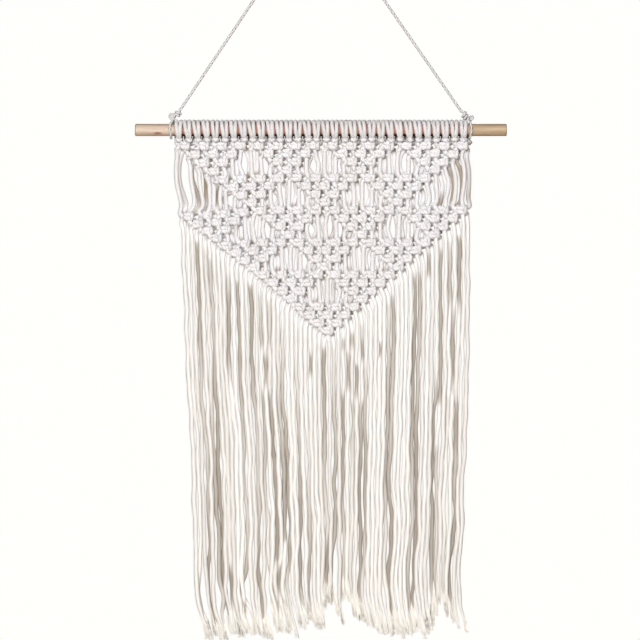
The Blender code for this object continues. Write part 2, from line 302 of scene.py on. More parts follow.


# Turned softwood, waxed by handling: tan with a pink cast at the left end, ochre at the right,
# with painted shade that makes it redder under the cords and a painted shadow that makes it dark
# below them, with fine grain along the rod, one small knot and rings on its ends
woodLook = {"left": "#DCD1C6", "right": "#CEC1AD", "dark": "#BCA38B", "paintedCordShade": "#CDA093",
            "shade": "#2E1710", "shadeFrom": (-232.6, -234.6), "tintHalf": 150.0,
            "knot": "#A87460", "ends": ("#D8C8B4", "#B8A088"), "roughness": 0.6,
            "grainAlong": 25.0, "grainAcross": 0.6, "bandsWider": (0.5, 0.16, 0.16),
            "streakFrom": (0.16, 0.4), "streakShare": 0.75, "grainDepth": 0.12,
            "coverHalf": 149.0, "coverFade": 8, "coverShare": 0.9, "middle": 3.5, "half": 194.9,
            "knotAt": (-168.0, -6.0, -233.0), "knotSize": (5.0, 2.2, 1.6), "knotEdge": (1.4, 0.3),
            "knotShare": 0.8, "ringCentre": (0.0, 1.8, -230.4), "ringScale": 0.28}


def makeWood(name, look):
    made, tree = newMaterial(name)
    place = addNode(tree, "ShaderNodeTexCoord").outputs["Object"]
    inside = computeVector(tree, "MULTIPLY", place, (1 / mm, 1 / mm, 1 / mm))
    parts = addNode(tree, "ShaderNodeSeparateXYZ", {0: inside})
    fine = (1 / look["grainAlong"], 1 / look["grainAcross"], 1 / look["grainAcross"])
    stretched = computeVector(tree, "MULTIPLY", inside, fine)
    grain = makeNoise(tree, stretched, 1.0, 3.0, 0.4)
    bands = makeNoise(tree, computeVector(tree, "MULTIPLY", stretched, look["bandsWider"]), 1.0, 2.0)
    across = rise(tree, parts.outputs[0], -look["tintHalf"], look["tintHalf"], kind="LINEAR")
    base = mixColours(tree, across, linear(look["left"]), linear(look["right"]))
    streaks = compute(tree, "MULTIPLY", grain, bands)
    streak = rise(tree, streaks, *look["streakFrom"], look["streakShare"], "LINEAR")
    grained = mixColours(tree, streak, base, linear(look["dark"]))
    fromMiddle = compute(tree, "SUBTRACT", parts.outputs[0], look["middle"])
    far = compute(tree, "ABSOLUTE", fromMiddle)
    # painted shade: redder wood under the cords, between and behind the heads
    under = rise(tree, far, look["coverHalf"] + look["coverFade"], look["coverHalf"],
                 look["coverShare"])
    paintedCordShade = mixColours(tree, under, grained, linear(look["paintedCordShade"]))
    # painted shadow: near-black along the underside, under the cords
    low = rise(tree, parts.outputs[2], *look["shadeFrom"])
    lowUnder = compute(tree, "MULTIPLY", low, under)
    shaded = mixColours(tree, lowUnder, paintedCordShade, linear(look["shade"]))
    fromKnot = computeVector(tree, "SUBTRACT", inside, look["knotAt"])
    shrunk = computeVector(tree, "DIVIDE", fromKnot, look["knotSize"])
    mark = rise(tree, computeVector(tree, "LENGTH", shrunk), *look["knotEdge"], look["knotShare"])
    knotted = mixColours(tree, mark, shaded, linear(look["knot"]))
    fromCentre = computeVector(tree, "SUBTRACT", inside, look["ringCentre"])
    flat = computeVector(tree, "MULTIPLY", fromCentre, (0.0, 1.0, 1.0))
    rings = addNode(tree, "ShaderNodeTexWave", {"Vector": flat, "Scale": look["ringScale"],
                    "Distortion": 1.5}, wave_type="RINGS", rings_direction="SPHERICAL")
    endWood = mixColours(tree, rings.outputs["Fac"], *map(linear, look["ends"]))
    atEnd = compute(tree, "GREATER_THAN", far, look["half"])
    colour = mixColours(tree, atEnd, knotted, endWood)
    bump = addNode(tree, "ShaderNodeBump", {"Height": grain, "Distance": look["grainDepth"] * mm,
                   "Strength": 0.6})
    finishMaterial(tree, {"Base Color": colour, "Roughness": look["roughness"],
                          "Normal": bump.outputs[0]})
    return made


cottonCord = makeCotton("cotton_cord", cottonLook)
cottonFringe = makeCotton("cotton_fringe", fringeLook)
cottonFray = makeCotton("cotton_fray", frayLook)
hangerCord = makeCotton("hanging_cord", hangerLook)
dowelWood = makeWood("dowel_wood", woodLook)
bpy.data.objects["dowel"].material_slots[0].material = dowelWood
print("materials made")


def readNamed(tree, label, kind="FLOAT"):
    node = addNode(tree, "GeometryNodeInputNamedAttribute", {"Name": label}, data_type=kind)
    return node.outputs[0]


def storeNamed(tree, geometry, label, value, kind="FLOAT"):
    node = addNode(tree, "GeometryNodeStoreNamedAttribute", {
        "Geometry": geometry, "Name": label, "Value": value}, data_type=kind, domain="POINT")
    return node.outputs[0]


# each cord is a profile of twisted plies swept along its path
flankSharpness = 3.0


def makeCordTree():
    tree = bpy.data.node_groups.new("laid_cord", "GeometryNodeTree")
    face = tree.interface
    face.new_socket("Geometry", in_out="INPUT", socket_type="NodeSocketGeometry")
    for label, kind in (("Thickness", "Float"), ("Lay", "Float"), ("Plies", "Int"),
                        ("Ply depth", "Float"), ("Flank shade", "Float"),
                        ("Points around", "Int"), ("Finish", "Material")):
        face.new_socket(label, in_out="INPUT", socket_type="NodeSocket" + kind)
    face.new_socket("Geometry", in_out="OUTPUT", socket_type="NodeSocketGeometry")
    given = addNode(tree, "NodeGroupInput")
    named = {socket.name: socket for socket in given.outputs}

    # profile: one lobe a ply, with a groove between them
    radius = compute(tree, "MULTIPLY", named["Thickness"], 0.5)
    circle = addNode(tree, "GeometryNodeCurvePrimitiveCircle", {
        "Resolution": named["Points around"], "Radius": radius})
    index = addNode(tree, "GeometryNodeInputIndex").outputs[0]
    turn = compute(tree, "DIVIDE", index, named["Points around"])
    lobe = compute(tree, "MULTIPLY", turn, named["Plies"])
    wave = compute(tree, "SINE", compute(tree, "MULTIPLY", lobe, math.pi))
    crest = compute(tree, "ABSOLUTE", wave)
    low = compute(tree, "SUBTRACT", 1.0, named["Ply depth"])
    size = compute(tree, "MULTIPLY_ADD", crest, named["Ply depth"], low)
    position = addNode(tree, "GeometryNodeInputPosition").outputs[0]
    scaled = addNode(tree, "ShaderNodeVectorMath", {0: position, "Scale": size},
                     operation="SCALE").outputs[0]
    profile = addNode(tree, "GeometryNodeSetPosition", {
        "Geometry": circle.outputs[0], "Position": scaled})
    ring = storeNamed(tree, profile.outputs[0], "ring", scaled, "FLOAT_VECTOR")

    # path: its tilt turns the plies as the cord runs on
    curve = addNode(tree, "GeometryNodeMeshToCurve", {"Mesh": named["Geometry"]})
    along = readNamed(tree, "along")
    turns = compute(tree, "DIVIDE", along, named["Lay"])
    twist = compute(tree, "MULTIPLY", turns, math.tau)
    tilted = addNode(tree, "GeometryNodeSetCurveTilt", {"Curve": curve.outputs[0], "Tilt": twist})
    swept = addNode(tree, "GeometryNodeCurveToMesh", {
        "Curve": tilted.outputs[0], "Profile Curve": ring,
        "Scale": readNamed(tree, "thick"), "Fill Caps": True})

    # the unrolled cord, for plies and fibres: across in x and y, along in z
    lift = addNode(tree, "ShaderNodeCombineXYZ", {2: along}).outputs[0]
    unrolled = computeVector(tree, "ADD", readNamed(tree, "ring", "FLOAT_VECTOR"), lift)
    mapped = storeNamed(tree, swept.outputs[0], "cordMap", unrolled, "FLOAT_VECTOR")
    # painted shade on the flanks, which face the next strand: the more the normal points sideways, the more painted
    # shade is added
    normal = addNode(tree, "GeometryNodeInputNormal").outputs[0]
    parts = addNode(tree, "ShaderNodeSeparateXYZ", {0: normal})
    aside = compute(tree, "ABSOLUTE", parts.outputs[0])
    flank = compute(tree, "POWER", aside, flankSharpness)
    shade = compute(tree, "MULTIPLY_ADD", flank, named["Flank shade"], readNamed(tree, "painted_shade"))
    shaded = storeNamed(tree, mapped, "painted_shade", shade)
    smooth = addNode(tree, "GeometryNodeSetShadeSmooth", {"Geometry": shaded})
    finished = addNode(tree, "GeometryNodeSetMaterial", {
        "Geometry": smooth.outputs[0], "Material": named["Finish"]})
    addNode(tree, "NodeGroupOutput", {0: finished.outputs[0]})
    return tree


cordTree = makeCordTree()
curveSteps = 8


def resample(points, step):
    # a smooth curve through the points (x, y, z, thickness share, how much painted shade it gets),
    # read at even steps
    points = np.array([(*p, *(1.0, 0.0)[len(p) - 3:]) for p in points], float)
    ends = np.vstack([2 * points[0] - points[1], points, 2 * points[-1] - points[-2]])
    t = np.linspace(0, 1, curveSteps + 1)[:-1, None]
    line = []
    for p0, p1, p2, p3 in zip(ends, ends[1:], ends[2:], ends[3:]):
        a, b, c = (max(np.linalg.norm((q - p)[:3]), 1e-9) ** 0.5
                   for p, q in ((p0, p1), (p1, p2), (p2, p3)))
        out = b * ((p1 - p0) / a - (p2 - p0) / (a + b) + (p2 - p1) / b)
        into = b * ((p2 - p1) / b - (p3 - p1) / (b + c) + (p3 - p2) / c)
        line.append((2 * t**3 - 3 * t**2 + 1) * p1 + (t**3 - 2 * t**2 + t) * out
                    + (3 * t**2 - 2 * t**3) * p2 + (t**3 - t**2) * into)
    line = np.vstack([*line, points[-1:]])
    runs = np.concatenate([[0], np.cumsum(np.linalg.norm(np.diff(line[:, :3], axis=0), axis=1))])
    count = max(2, int(round(runs[-1] / step)) + 1)
    read = np.linspace(0, runs[-1], count)
    return np.column_stack([np.interp(read, runs, line[:, k]) for k in range(5)]), read


def makeCords(name, paths, finish, make):
    # paths: dictionaries with points in millimetres, and optionally start and tone
    corners, edges, along, thick, tone, painted_shade = [], [], [], [], [], []
    for path in paths:
        points, read = resample(path["points"], make["step"])
        first = len(corners)
        corners.extend(points[:, :3] * mm)
        edges.extend((first + k, first + k + 1) for k in range(len(points) - 1))
        along.extend((read + path.get("start", 0.0)) * mm)
        thick.extend(points[:, 3])
        painted_shade.extend(np.clip(points[:, 4], 0, 1))
        tone.extend(np.interp(read, (0, read[-1]), np.broadcast_to(path.get("tone", 0.5), 2)))
    mesh = bpy.data.meshes.new(name)
    mesh.from_pydata(corners, edges, [])
    for label, values in (("along", along), ("thick", thick), ("tone", tone), ("painted_shade", painted_shade)):
        mesh.attributes.new(label, "FLOAT", "POINT").data.foreach_set("value", values)
    piece = bpy.data.objects.new(name, mesh)
    bpy.context.scene.collection.objects.link(piece)
    sweep = piece.modifiers.new("laid_cord", "NODES")
    sweep.node_group = cordTree
    wanted = {"Thickness": make["thickness"] * mm, "Lay": make["lay"] * mm,
              "Plies": make["plies"], "Ply depth": make["plyDepth"],
              "Flank shade": make.get("flankShade", 0.0),
              "Points around": make["pointsAround"], "Finish": finish}
    for item in cordTree.interface.items_tree:
        if item.item_type == "SOCKET" and item.name in wanted:
            sweep[item.identifier] = wanted[item.name]
    return toPlainMesh(piece)


def toPlainMesh(piece):
    depsgraph = bpy.context.evaluated_depsgraph_get()
    made = bpy.data.meshes.new_from_object(piece.evaluated_get(depsgraph))
    made.name = piece.name
    piece.modifiers.clear()
    piece.data = made
    for label in ("along", "thick", "ring"):
        if label in made.attributes:
            made.attributes.remove(made.attributes[label])
    made.calc_loop_triangles()
    print(f"{piece.name}: {len(made.loop_triangles)} triangles")
    return piece


# hanging cord: up from the left end of the dowel, over the hook at the origin and down to the
# right end, in metres as in the CAD source
hanger = {"thickness": 3.2, "lay": 11.0, "plyDepth": 0.3, "plies": 2, "pointsAround": 12,
          "step": 0.9, "diameter": 0.003, "length": 0.519}
hangerRoute = [(x, 0.0, z) for x, z in (
    (-0.1461, -0.2103), (-0.1280, -0.1833), (-0.1100, -0.1564), (-0.0920, -0.1296),
    (-0.0740, -0.1027), (-0.0560, -0.0759), (-0.0380, -0.0490), (-0.0220, -0.0251),
    (-0.0120, -0.0102), (-0.0067, -0.0028), (-0.0036, 0.0004), (0.0, 0.0015), (0.0036, 0.0005),
    (0.0068, -0.0027), (0.0120, -0.0096), (0.0220, -0.0240), (0.0380, -0.0471),
    (0.0567, -0.0740), (0.0756, -0.1013), (0.0945, -0.1286), (0.1134, -0.1558),
    (0.1323, -0.1830), (0.15075, -0.2097))]

# the same cord goes round its own leg, round the dowel and back into a loop, in millimetres
coilSteps = 12
ties = {
    "left": {"leg": (math.cos(math.radians(56.2)), math.sin(math.radians(56.2))),
             "knot": (-147.4, -212.3), "turns": 1.6, "radius": 2.6, "rise": 2.8, "way": (
                 (-150.6, 2.5, -218.5), (-152.5, 6.0, -222.0), (-154.4, 8.2, -229.0),
                 (-154.2, 3.0, -237.0), (-153.8, -4.5, -236.3), (-155.1, -8.1, -229.0),
                 (-154.3, -5.8, -222.8), (-152.3, -2.6, -219.3), (-153.6, -2.6, -217.2),
                 (-155.4, -2.6, -215.4), (-155.0, -2.4, -213.2), (-153.0, -2.9, -212.4),
                 (-151.0, -2.6, -213.8), (-151.2, -1.6, -216.6), (-149.2, -1.2, -217.8))},
    "right": {"leg": (-0.569, 0.822), "knot": (155.0, -215.0), "turns": 2.2, "radius": 2.6,
              "rise": 3.0, "way": (
                  (157.6, -3.2, -219.2), (160.2, -5.6, -222.4), (161.0, -8.1, -229.0),
                  (160.0, -5.2, -236.0), (158.6, 3.0, -237.0), (159.0, 8.2, -229.0),
                  (160.0, 4.5, -221.5), (160.2, 0.5, -218.0), (161.6, -1.5, -217.6),
                  (162.6, -1.8, -216.2), (161.9, -2.0, -214.6), (159.8, -1.8, -214.6))},
}


def tiePath(tie, start):
    # a coil round the cord's leg, then the way round the dowel
    legX, legZ = tie["leg"]
    points = []
    count = int(tie["turns"] * coilSteps)
    for k in range(count + 1):
        share = k / count
        angle = math.tau * tie["turns"] * share
        side, front = tie["radius"] * math.cos(angle), -tie["radius"] * math.sin(angle)
        down = (share - 0.5) * tie["rise"] * tie["turns"]
        points.append((tie["knot"][0] - legX * down + legZ * side, front,
                       tie["knot"][1] - legZ * down - legX * side))
    return [start, *points, *tie["way"]]


hangerPath = [(x / mm, y, z / mm) for x, y, z in hangerRoute]
hangingCord = makeCords("hanging_cord_laid", [{"points": hangerPath}], hangerCord, hanger)
tieMake = {**hanger, "thickness": 2.9, "step": 0.8}
tiePieces = []
for label, end in (("left", hangerPath[0]), ("right", hangerPath[-1])):
    piece = makeCords(label + "_tie_cord", [{"points": tiePath(ties[label], end)}], hangerCord, tieMake)
    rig.ride(piece, "root")
    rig.replaces(piece, label + "_tie")
    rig.slot(piece, "hanging_cord")
    tiePieces.append(piece)
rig.ride(hangingCord, "root")
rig.replaces(hangingCord, "hanging_cord")
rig.slot(hangingCord, "hanging_cord")
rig.cord(hangingCord, exit=hangerRoute[0], length=hanger["length"], diameter=hanger["diameter"],
        far_end="object", lay="taut", path=hangerRoute, with_pieces=tiePieces)
print("hanging cord and ties made")

# the net's lattice, as in the CAD source, in millimetres
lattice = {"pairs": 32, "rows": 24, "firstRow": -245.8, "rowPitch": 8.45, "topPitch": 9.71,
           "tipPitch": 9.24, "topCentre": 5.8, "tipCentre": 10.2, "sag": 6.9, "sagEdge": -56.5,
           "sagWidth": 79.8, "sagRows": 8, "tierRows": 4}
tiers = ({"row": 1, "firstPairs": (1, 9, 17, 25)}, {"row": 5, "firstPairs": (5, 13, 21)},
         {"row": 9, "firstPairs": (1, 9, 17, 25)}, {"row": 13, "firstPairs": (5, 13, 21)},
         {"row": 17, "firstPairs": (9, 17)}, {"row": 21, "firstPairs": (13,)})


def pairX(pair, row):
    share = (row - 1) / (lattice["rows"] - 1)
    pitch = lattice["topPitch"] + share * (lattice["tipPitch"] - lattice["topPitch"])
    centre = lattice["topCentre"] + share * (lattice["tipCentre"] - lattice["topCentre"])
    return centre + (pair - (lattice["pairs"] + 1) / 2) * pitch


def rowZ(row, x):
    sag = lattice["sag"] * np.clip((lattice["sagEdge"] - x) / lattice["sagWidth"], 0, 1)
    sag = sag * np.clip((row - 1) / lattice["sagRows"], 0, 1)
    return lattice["firstRow"] - (row - 1) * lattice["rowPitch"] - sag


# square knots: four strands, the right one crosses in front twice; x to the right, y into the
# net, z up, in millimetres, the cord's thickness share and how much painted shade it gets in a recess
knotRoles = {
    "leftWorker": ((-8.6, -1.2, 4.2, 1.0), (-7.7, -2.3, 2.2, 1.02), (-6.7, -2.0, 0.2, 0.97),
                   (-5.3, 0.4, -0.8, 0.88), (-2.2, 3.2, -0.2, 0.85), (1.0, 3.6, 0.7, 0.85),
                   (3.4, 1.6, 2.0, 0.85), (4.2, -1.8, 3.4, 0.82), (4.1, -4.2, 2.6, 0.82),
                   (4.0, -4.9, 0.0, 0.8), (4.1, -4.2, -2.7, 0.82), (4.2, -1.8, -3.6, 0.82),
                   (3.2, 2.0, -2.5, 0.85), (0.6, 3.6, -1.9, 0.85), (-2.4, 3.0, -2.0, 0.85),
                   (-5.0, 0.6, -2.5, 0.88), (-6.9, -1.4, -3.2, 0.96), (-7.9, -1.0, -4.2, 1.0)),
    "leftFiller": ((-3.7, 2.2, 4.2, 0.97, 0.5), (-2.6, 1.2, 2.8, 0.9), (-1.3, 0.2, 0.0, 0.85),
                   (-1.0, 1.0, -3.0, 0.9), (-1.1, 2.0, -4.2, 0.95, 0.3)),
    "rightFiller": ((1.8, -0.6, 4.2, 1.0), (1.4, 0.3, 3.0, 0.9), (1.1, 0.2, 0.0, 0.85),
                    (0.9, -0.2, -3.0, 0.92), (1.1, -0.8, -4.2, 1.0)),
    "rightWorker": ((8.6, 2.2, 4.2, 0.95, 0.6), (7.2, 2.6, 3.0, 0.95, 0.7), (5.2, 1.9, 2.1, 0.9, 0.5),
                    (2.6, -1.6, 1.95, 0.9), (0.0, -3.6, 1.95, 0.97), (-2.6, -3.6, 1.9, 1.0),
                    (-4.3, -2.2, 1.4, 0.94), (-4.6, -0.2, 0.0, 0.85), (-3.9, -2.2, -1.5, 0.94),
                    (-2.2, -3.6, -2.1, 1.0), (0.3, -3.6, -2.15, 0.97), (2.6, -1.6, -2.1, 0.9),
                    (5.2, 1.7, -2.7, 0.9, 0.5), (6.3, 2.4, -3.5, 0.95, 0.7), (6.0, 2.3, -4.2, 0.97, 0.5)),
}
roleOrder = ("leftWorker", "leftFiller", "rightFiller", "rightWorker")
handTied = {"shift": 0.4, "turn": 6.0, "grow": 0.05, "loose": 0.2, "full": 1.12,
            "shade": (0.1, 1.2), "firstRowOut": -1.5, "seed": 11}

chance = np.random.default_rng(handTied["seed"])
strandCount = 2 * lattice["pairs"]
knotsOf = {strand: [] for strand in range(1, strandCount + 1)}


def tieKnot(row, left):
    # on the four strands of the pair called left and the next, never quite like its neighbours
    x = (pairX(left, row) + pairX(left + 1, row)) / 2
    middle = np.array([x, handTied["firstRowOut"] if row == 1 else 0, rowZ(row, x)])
    middle += chance.uniform(-1, 1, 3) * handTied["shift"]
    angle = math.radians(handTied["turn"]) * chance.uniform(-1, 1)
    grow = 1 + handTied["grow"] * chance.uniform(-1, 1)
    spin = np.array([[math.cos(angle), 0, -math.sin(angle)], [0, 1, 0],
                     [math.sin(angle), 0, math.cos(angle)]])
    for k, role in enumerate(roleOrder):
        points = np.array([(*point, 0.0)[:5] for point in knotRoles[role]])
        # each knot takes a random share of its painted shade
        points[:, 3:] *= (handTied["full"], chance.uniform(*handTied["shade"]))
        places = points[:, :3] + chance.normal(0, handTied["loose"], (len(points), 3))
        points[:, :3] = places * grow @ spin.T + middle
        knotsOf[2 * left - 1 + k].append({"row": row, "points": points})


# a tier is a row of triangles that narrow from four knots to one
for tier in tiers:
    for step in range(lattice["tierRows"]):
        for first in tier["firstPairs"]:
            for knot in range(lattice["tierRows"] - step):
                tieKnot(tier["row"] + step, first + step + 2 * knot)
for knots in knotsOf.values():
    knots.sort(key=lambda knot: knot["row"])

# curtain: where the free strands hang, level by level, in millimetres; a sway is a share of the
# wander and a wavelength, and a shoulder is how far a strand bulges below its last knot
curtain = {"top": -244.0, "bottom": -770.0, "levelStep": 3.0, "clear": 4.3, "rounds": 160,
           "seed": 5, "inset": 2.2, "settle": 11.0, "drift": 0.4, "wander": 0.6,
           "innerWander": 1.8, "sways": ((1.0, 230), (0.6, 96), (0.4, 47)), "bow": (-1.8, 2.4),
           "front": -2.0, "back": 3.0, "strayShare": 0.2, "deep": 4.2, "billow": 1.3,
           "billowLength": 62, "shoulder": 2.8, "shoulderDrop": 8, "shoulderLength": 7,
           "rootLength": 22, "asideFrom": 60, "asideLength": 160, "lieSettle": 30,
           "swaySettle": 120, "swayGrow": (0.6, 420), "lieVary": (0.5, 1.2), "bowKept": 0.7,
           "depthPush": 1.3, "gapClear": 0.45, "evenRoot": 0.06, "even": 0.3}
# how strongly each kind of free strand is pulled back to its own way, sideways and in depth
pulls = {"root": (0.5, 0.08), "bent": (0.2, 0.2), "hanging": (0.03, 0.08), "bowed": (0.02, 0.05)}
# the curtain's two edges in photo pixels: row, then left and right column
sides = ((215, 181, 470), (265, 182, 470), (310, 185, 470), (355, 186, 469), (400, 187.5, 467.5),
         (430, 190, 466.5), (460, 191.5, 465.5), (490, 192, 463.5), (520, 194, 465), (550, 195, 462.5),
         (565, 195, 460.5), (590, 194.5, 460.5), (605, 198, 462), (640, 206, 468))
# how far strands are drawn aside where they leave the V: strand from 0, then photo pixels
drawnAside = ((0, 0), (10, -2), (22, -2.8), (31, -1.6), (32, -0.4), (42, 1.5), (63, 0))
# the hem: column and row, and the row where a strand's column is read
hemRow = 625
hem = ((200, 634), (203, 637), (212, 632), (218, 637), (230, 632), (248, 631), (258, 630), (268, 636),
       (273, 628), (290, 629), (295, 634), (298, 620), (303, 626), (310, 617), (319, 626), (324, 626),
       (328, 603), (335, 597), (345, 624), (350, 593), (357, 612), (366, 619), (373, 626), (390, 630),
       (400, 632), (408, 631), (414, 627), (420, 634), (428, 628), (434, 621), (445, 598), (450, 612),
       (461, 630), (467, 626))

# gaps between strands: middle, width, top and bottom in photo pixels
openGaps = (
    (244.5, 7, 153, 174), (266.5, 5, 156, 174), (313, 8, 159, 173), (327.5, 3, 155, 176),
    (332.5, 3, 152, 172), (341.5, 3, 159, 172), (404, 6, 150, 176), (413, 2, 158, 174),
    (275, 6, 192, 204), (283.5, 5, 184, 196), (293, 4, 184, 202), (304, 2, 192, 202),
    (348, 2, 190, 204), (367, 4, 184, 204), (378, 2, 190, 203),
    (229.5, 9, 190, 208), (439.5, 3, 177, 195), (451.5, 3, 173, 205), (460, 3, 165, 205),
    (248.5, 3, 217, 238), (256, 4, 215, 235), (267.5, 7, 221, 238),
    (311.5, 7, 221, 238), (330, 6, 216, 238), (341, 4, 220, 238), (385, 4, 218, 236),
    (392.5, 7, 218, 238), (405, 4, 215, 235), (412, 4, 220, 236),
    (275, 4, 254, 270), (293.5, 3, 247, 268), (305, 6, 253, 268), (351, 2, 250, 268),
    (369, 4, 246, 270), (380, 3, 252, 268), (314, 2, 284, 300), (331.5, 3, 283, 298),
    (336.5, 5, 282, 298),
    (203, 6, 560, 614), (219, 6, 584, 620), (247, 8, 572, 606), (268, 6, 562, 624),
    (335.5, 6, 535, 600),
)
# where a strand lies far back between its neighbours, so the gap is in real shade, and that strand also gets painted
# shade for its depth
shadedGaps = (
    (235, 3, 227, 246), (225, 3, 234, 244), (424.5, 3, 184, 196),
    (228.5, 4, 258, 400), (266, 4, 345, 395), (311, 3, 350, 380), (348.5, 3, 345, 400),
    (356.5, 3, 350, 405), (362.5, 3, 338, 365), (381, 3, 340, 360), (429, 4, 245, 285),
    (440.5, 4, 240, 385), (452.5, 4, 300, 400), (460, 2, 240, 265), (456, 4, 400, 455),
    (433, 3, 400, 450), (232, 3, 560, 612), (262, 4, 580, 628), (278.5, 4, 560, 600),
    (290, 3, 540, 572), (299.5, 3, 540, 590), (326.5, 4, 540, 600), (245, 6, 598, 624),
)

# where single strands hang at the net's two edges: strand, then column and row in photo pixels
# and how far back it lies in millimetres
bends = {
    1: ((177.5, 155, -0.5), (176.1, 165, -0.5), (176.1, 175, -0.5), (177, 185, -0.5),
        (179.2, 195, -0.5), (181.8, 204, -0.5)),
    2: ((181.5, 155, 2.6), (179.2, 165, 2.9), (178.7, 175, 2.9), (180.1, 185, 2.9),
        (183.4, 195, 2.8), (186.8, 204, 2.6)),
    3: ((190.5, 164, -0.5), (190.6, 176, -0.5), (191.7, 185, -0.5), (193.8, 195, -0.5),
        (195, 205, -0.5)),
    4: ((191.6, 167, 3.5), (191.9, 178, 3.8), (194.2, 186, 4), (198, 195, 4), (200.2, 205, 4)),
    5: ((199.6, 171, -0.5), (199.2, 179, -0.5), (200.4, 189, -0.5), (202.2, 197, -0.5),
        (204.2, 206, -0.5)),
    6: ((205.2, 174, 4), (205.9, 182, 4.6), (206.1, 192, 4.6), (206.9, 202, 3.5)),
    7: ((209.6, 183, 0), (209.4, 192, 0), (210.8, 203, 0)),
    8: ((214.8, 185, 0.8), (213.9, 194, 0.8), (213.9, 204, 0.8)),
    9: ((217.4, 188, 4.8), (216.9, 196, 5), (217.2, 204, 4.8)),
    10: ((221, 187, 1.6), (219.8, 195, 1.6), (220, 204, 1.6)),
    11: ((226, 190, -0.5), (223.3, 197, -0.5), (223, 205, -0.5)),
    12: ((229, 192, 3.4), (226, 199, 3.4), (225.5, 206, 3.4)),
    54: ((423, 193, 1), (424, 201, 1)), 55: ((427, 186, 0), (429.5, 194, 0), (429.5, 204, 0)),
    56: ((431, 184, 1.5), (433.5, 194, 1.5), (433, 204, 1.5)),
    57: ((436, 178, 0), (437.6, 190, 0), (436.6, 202, 0)),
    58: ((440.5, 178, 0.5), (442.6, 187, 1.2), (442, 196, 3.6), (440, 206, 4.8)),
    59: ((445, 171, -0.5), (448.8, 180, -0.5), (448.8, 188, -0.5), (446.8, 196, -0.5), (444, 204, -0.5)),
    60: ((448, 169, 4), (451.8, 176, 4.2), (452.8, 184, 4.2), (451.3, 193, 4.2), (448.3, 203, 4.2)),
    61: ((451.5, 164, -0.5), (455, 173, -0.5), (456.2, 183, -0.5), (455.6, 193, -0.5), (454, 204, -0.5)),
    62: ((455.5, 162, 4), (458.8, 170, 4.2), (460.5, 180, 4.2), (460, 192, 4.2), (458.8, 204, 4.2)),
    63: ((460.6, 156, -0.5), (464, 165, -0.5), (464.8, 176, -0.5), (463.8, 187, -0.5),
         (461.6, 200, -0.5)),
    64: ((466.5, 157, 2.6), (469, 168, 2.6), (469.3, 184, 2.8), (468.2, 198, 3.4)),
}


def hangStrands(levels):
    # each strand by itself: x and y at each level, and where it is free, bent to given points, below the
    # V, and just below its last knot
    shape = (strandCount, len(levels))
    x, y = np.zeros(shape), np.zeros(shape)
    free, bent, hangs, near = (np.zeros(shape, bool) for _ in range(4))
    dice = np.random.default_rng(curtain["seed"])
    rows = photoRow(levels)
    left, right = (photoX(np.interp(rows, [side[0] for side in sides], [side[k] for side in sides]))
                   for k in (1, 2))
    left, right = left + curtain["inset"], right - curtain["inset"]
    own = dice.uniform(0, math.tau, (strandCount, 3))
    # every other strand lies in front, but for some strays, and no three in a row lie behind
    stray = dice.uniform(0, 1, strandCount) < curtain["strayShare"]
    leads = (np.arange(strandCount) % 2 == 0) ^ stray
    leads[2:] |= ~leads[1:-1] & ~leads[:-2]
    leads[[0, 1, -2, -1]] = True
    # neighbours sway together
    drift = np.cumsum(dice.normal(0, curtain["drift"], (strandCount, 3)), axis=0)
    for s in range(strandCount):
        knots = knotsOf[s + 1]
        ends = [(point[2], point[0], point[1]) for knot in knots
                for point in (knot["points"][0], knot["points"][-1])]
        endZ, endX, endY = np.array(ends)[::-1].T
        x[s], y[s] = np.interp(levels, endZ, endX), np.interp(levels, endZ, endY)
        for upper, lower in zip(knots, knots[1:]):
            if lower["row"] - upper["row"] > 1:
                top, bottom = upper["points"][-1], lower["points"][0]
                inside = (levels < top[2] - 1) & (levels > bottom[2] + 1)
                free[s] |= inside
                bend = bends.get(s + 1)
                if bend and bottom[2] < photoZ(bend[-1][1]) and photoZ(bend[0][1]) < top[2]:
                    way = [(top[2], top[0], top[1])]
                    way += [(photoZ(row), photoX(column), back) for column, row, back in bend]
                    way += [(bottom[2], bottom[0], bottom[1])]
                    wayZ, wayX, wayY = np.array(way)[::-1].T
                    x[s, inside] = np.interp(levels[inside], wayZ, wayX)
                    y[s, inside] = np.interp(levels[inside], wayZ, wayY)
                    bent[s] |= inside
                else:
                    y[s, inside] += dice.uniform(*curtain["bow"]) * np.sin(
                        math.pi * (top[2] - levels[inside]) / (top[2] - bottom[2]))
        # below the V: to an even place between the curtain's edges
        rootX, rootY, rootZ = knots[-1]["points"][-1][:3]
        below = levels < rootZ
        drop = (rootZ - levels)[below]
        target = left[below] + s / (strandCount - 1) * (right - left)[below]
        aside = 1 - easeIn((drop - curtain["asideFrom"]) / curtain["asideLength"])
        target += np.interp(s, *zip(*drawnAside)) * photo["scale"] * aside
        settled = easeIn(drop / curtain["settle"])
        phases = drift[s] + (0.5 if leads[s] else 1.0) * own[s]
        sway = sum(size * np.sin(math.tau * drop / length + phase)
                   for (size, length), phase in zip(curtain["sways"], phases))
        reach = curtain["wander"] * (1.0 if leads[s] else curtain["innerWander"])
        least, growLength = curtain["swayGrow"]
        reach = reach * easeIn(drop / curtain["swaySettle"]) * (least + drop / growLength)
        x[s, below] = rootX + settled * (target - rootX) + sway * reach
        lie = curtain["front"] if leads[s] else curtain["back"]
        lie = lie * dice.uniform(*curtain["lieVary"])
        lie = lie + curtain["billow"] * np.sin(drop / curtain["billowLength"] + own[s, 2])
        past = (drop - curtain["shoulderDrop"]) / curtain["shoulderLength"]
        shoulder = curtain["shoulder"] * np.exp(-past ** 2)
        y[s, below] = rootY + easeIn(drop / curtain["lieSettle"]) * (lie - rootY) - shoulder
        free[s] |= below
        hangs[s] = below
        near[s] = below & (levels > rootZ - curtain["rootLength"])
    return x, y, free, bent, hangs, near


